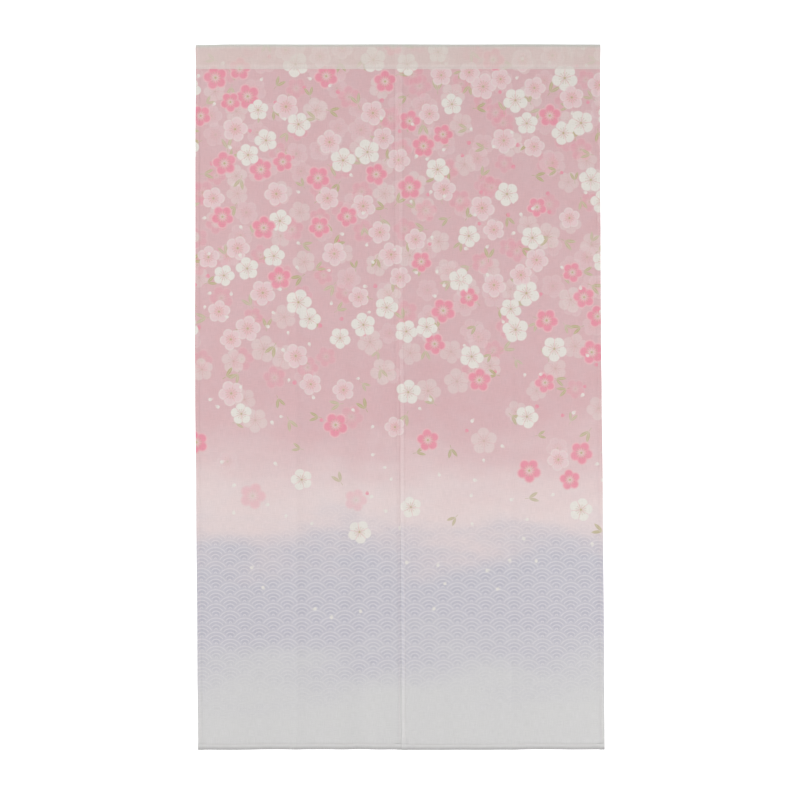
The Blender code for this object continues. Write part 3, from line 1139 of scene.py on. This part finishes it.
def new_material(name):
    """Material, the recipe of its nodes, and its shader's sockets."""
    material = bpy.data.materials.new(name)
    material.use_nodes = True
    return material, Recipe(material.node_tree), material.node_tree.nodes["Principled BSDF"].inputs


def cloth_material(name, group, colours, vivid):
    """One side of the printed cloth."""
    _, recipe, shader = new_material(name)
    place = recipe.add("ShaderNodeUVMap", uv_map="print").outputs[0]
    printed = recipe.add("ShaderNodeGroup", place, node_tree=group).outputs[0]
    colour = recipe.add_named("ShaderNodeHueSaturation", {"Saturation": vivid, "Color": printed}).outputs[0]
    tones = [recipe.add("ShaderNodeAttribute", attribute_name=tone).outputs["Fac"] for tone in Tones._fields]
    doubled_and_lit, bare, beside, edge_shade, greyed = tones
    colour = recipe.mix(recipe.product(bare, 1.0 - SHOW_THROUGH), colour, colours.bare)
    # Painted light on the crown's top
    colour = recipe.mix(greyed, colour, colours.greyed)
    # Lighter doubled cloth, with a painted highlight where it is raised at the centre edges
    colour = recipe.mix(recipe.product(doubled_and_lit, DOUBLED_AND_LIT_SHARE), colour, DOUBLED_AND_LIT_TONE)
    streaks, height = weave(recipe, place)
    # Painted shade just past a hem's inner edge
    shade = recipe.math("MULTIPLY_ADD", beside, -BESIDE_HEM_SHADE, recipe.ease(streaks, *SLUB_SHADE))
    # Painted shade along the edge folds at the foot and the outer sides
    shade = recipe.math("MULTIPLY_ADD", edge_shade, -EDGE_SHADE_TONE, shade)
    recipe.feed(shader["Base Color"], recipe.times(colour, shade))
    recipe.feed(shader["Roughness"], recipe.ease(streaks, *SLUB_ROUGHNESS))
    recipe.feed(shader["Normal"], recipe.bump(*WEAVE_BUMP, height))
    shader["Specular IOR Level"].default_value = 0.25
    shader["Sheen Weight"].default_value = 0.06


def thread_material(colours):
    """Twisted sewing thread."""
    _, recipe, shader = new_material("sewing_thread")
    place = recipe.add("ShaderNodeTexCoord").outputs["Object"]
    values = {"Vector": place, "Scale": TWIST_SCALE, "Distortion": 1.0}
    twist = recipe.add_named("ShaderNodeTexWave", values, bands_direction="DIAGONAL").outputs["Fac"]
    tone = recipe.clouds(place, THREAD_SCALE)["Fac"]
    recipe.feed(shader["Base Color"], recipe.mix(tone, colours.thread * THREAD_DARKER, colours.thread))
    recipe.feed(shader["Normal"], recipe.bump(*TWIST_BUMP, twist))
    shader["Roughness"].default_value = 0.7


def backdrop_material(glow):
    """Seamless white paper, a little lit of itself so that it stays even."""
    material, _, shader = new_material("white_backdrop")
    shader["Base Color"].default_value = (0.92, 0.92, 0.92, 1.0)
    shader["Roughness"].default_value = 0.95
    shader["Emission Color"].default_value = (1.0, 1.0, 1.0, 1.0)
    shader["Emission Strength"].default_value = glow
    return material


def cloth_materials(colours):
    """Face and back of the cloth and the thread, made once."""
    if "cloth_face" not in bpy.data.materials:
        group = print_group(colours)
        cloth_material("cloth_face", group, colours, FACE_VIVID)
        cloth_material("cloth_back", group, colours, BACK_VIVID)
        thread_material(colours)
    return [bpy.data.materials[name] for name in ("cloth_face", "cloth_back", "sewing_thread")]


# Operators

FLOOR_WIDTH = 36.0
FLOOR_FRONT = -18.0
WALL_HEIGHT = 9.0
WALL_CORNER = 1.5
CORNER_STEPS = 24
NEAR = 0.001

# Lamps: square soft lights that look at the middle of the cloth
Lamp = namedtuple("Lamp", "name x y z size")
LAMPS = (
    Lamp("key", -2.2, -1.9, 0.3, 1.6),
    Lamp("fill", 1.5, -1.2, -0.9, 1.0),
    Lamp("top", 0.0, 0.45, 2.0, 0.8),
)


class NOREN_OT_heading(bpy.types.Operator):
    """Make the heading that forms the rod pocket"""

    bl_idname = "noren.heading"
    bl_label = "Heading"

    def execute(self, context):
        face, back, _ = cloth_materials(context.scene.noren_colours)
        make_heading(context.scene.noren_sizes, face, back)
        return {"FINISHED"}


class NOREN_OT_panels(bpy.types.Operator):
    """Make the two panels with their hems"""

    bl_idname = "noren.panels"
    bl_label = "Panels"

    def execute(self, context):
        face, back, _ = cloth_materials(context.scene.noren_colours)
        for panel in PANELS:
            make_panel(panel, context.scene.noren_sizes, face, back)
        return {"FINISHED"}


class NOREN_OT_sewing(bpy.types.Operator):
    """Sew the seam and the hems, and work out the flat cut of each cloth"""

    bl_idname = "noren.sewing"
    bl_label = "Sewing"

    def execute(self, context):
        sizes = context.scene.noren_sizes
        _, _, thread = cloth_materials(context.scene.noren_colours)
        sewn = joined("heading_stitches", heading_stitches(sizes), thread)
        heading_cut(sizes)
        for panel in PANELS:
            rows = panel_stitches(panel, sizes)
            if panel.low == "middle":
                rows.append(slit_tack(sizes))
            sewn = joined(panel.name.replace("cloth", "stitches"), rows, thread)
            cut = panel_cut(panel, sizes)
        return {"FINISHED"}


class NOREN_OT_stage(bpy.types.Operator):
    """Set the white backdrop, the soft lights and the camera"""

    bl_idname = "noren.stage"
    bl_label = "Stage"

    def execute(self, context):
        stage = context.scene.noren_stage
        self.backdrop(stage)
        self.lights(context, stage)
        self.camera(context, stage)
        context.scene.view_settings.view_transform = "Standard"
        return {"FINISHED"}

    def backdrop(self, stage):
        """Floor whose far edge is drawn up and whose corner is rounded."""
        floor_z = -DROP - stage.floor_below
        far = stage.backdrop_behind
        bpy.ops.object.select_all(action="DESELECT")
        bpy.ops.mesh.primitive_plane_add(size=1.0)
        floor = bpy.context.object
        floor.name = "backdrop"
        for vertex in floor.data.vertices:
            vertex.co = (vertex.co.x * FLOOR_WIDTH, far if vertex.co.y > 0.0 else FLOOR_FRONT, floor_z)
        bpy.ops.object.mode_set(mode="EDIT")
        self.select_far_edge(floor, far, floor_z)
        bpy.ops.mesh.extrude_region_move(TRANSFORM_OT_translate={"value": (0.0, 0.0, WALL_HEIGHT)})
        self.select_far_edge(floor, far, floor_z)
        bpy.ops.mesh.bevel(offset=WALL_CORNER, segments=CORNER_STEPS, affect="EDGES")
        bpy.ops.mesh.select_all(action="SELECT")
        bpy.ops.mesh.faces_shade_smooth()
        bpy.ops.object.mode_set(mode="OBJECT")
        floor.data.materials.append(backdrop_material(stage.backdrop_glow))

    def select_far_edge(self, floor, far, floor_z):
        bpy.ops.mesh.select_all(action="DESELECT")
        edited = bmesh.from_edit_mesh(floor.data)
        for edge in edited.edges:
            ends = [abs(vertex.co.y - far) + abs(vertex.co.z - floor_z) for vertex in edge.verts]
            if max(ends) < NEAR:
                edge.select_set(True)
        bmesh.update_edit_mesh(floor.data)

    def lights(self, context, stage):
        world = bpy.data.worlds.new("even_light")
        context.scene.world = world
        world.use_nodes = True
        background = world.node_tree.nodes["Background"].inputs
        background["Color"].default_value = (1.0, 1.0, 1.0, 1.0)
        background["Strength"].default_value = stage.sky
        middle = Vector((0.0, 0.0, -DROP / 2))
        for lamp in LAMPS:
            light_data = bpy.data.lights.new(lamp.name + "_light", "AREA")
            light_data.shape = "SQUARE"
            light_data.size = lamp.size
            light_data.energy = getattr(stage, lamp.name + "_power")
            light = bpy.data.objects.new(lamp.name + "_light", light_data)
            context.scene.collection.objects.link(light)
            light.location = (lamp.x, lamp.y, lamp.z)
            light.rotation_euler = (middle - light.location).to_track_quat("-Z", "Y").to_euler()

    def camera(self, context, stage):
        """Straight on to the back, as far off as makes the drop its share of the photograph."""
        lens = bpy.data.cameras.new("camera")
        lens.lens = stage.lens
        pixel = DROP / DROP_PIXELS
        distance = FRAME_PIXELS * pixel * stage.lens / lens.sensor_width
        camera = bpy.data.objects.new("camera", lens)
        context.scene.collection.objects.link(camera)
        across = (CENTRE_PIXEL - MIDDLE_PIXEL) * pixel
        camera.location = (across, -distance, -(CENTRE_PIXEL - TOP_PIXEL) * pixel)
        camera.rotation_euler = (math.pi / 2, 0.0, 0.0)
        context.scene.camera = camera


STEPS = (NOREN_OT_heading, NOREN_OT_panels, NOREN_OT_sewing, NOREN_OT_stage)
GROUPS = (("noren_sizes", NorenSizes), ("noren_colours", NorenColours), ("noren_stage", NorenStage))


class NOREN_PT_panel(bpy.types.Panel):
    """Lists the steps and what they read"""

    bl_label = "Noren curtain"
    bl_idname = "NOREN_PT_panel"
    bl_space_type = "VIEW_3D"
    bl_region_type = "UI"
    bl_category = "Noren"

    def draw(self, context):
        for name, group in GROUPS:
            box = self.layout.box()
            for key in group.__annotations__:
                box.prop(getattr(context.scene, name), key)
        for step in STEPS:
            self.layout.operator(step.bl_idname)


def register():
    for name, group in GROUPS:
        bpy.utils.register_class(group)
        setattr(bpy.types.Scene, name, PointerProperty(type=group))
    for step in STEPS:
        bpy.utils.register_class(step)
    bpy.utils.register_class(NOREN_PT_panel)


def unregister():
    bpy.utils.unregister_class(NOREN_PT_panel)
    for step in reversed(STEPS):
        bpy.utils.unregister_class(step)
    for name, group in reversed(GROUPS):
        delattr(bpy.types.Scene, name)
        bpy.utils.unregister_class(group)


def main():
    register()
    bpy.ops.noren.heading()
    bpy.ops.noren.panels()
    bpy.ops.noren.sewing()
    bpy.ops.noren.stage()


if __name__ == "__main__":
    main()
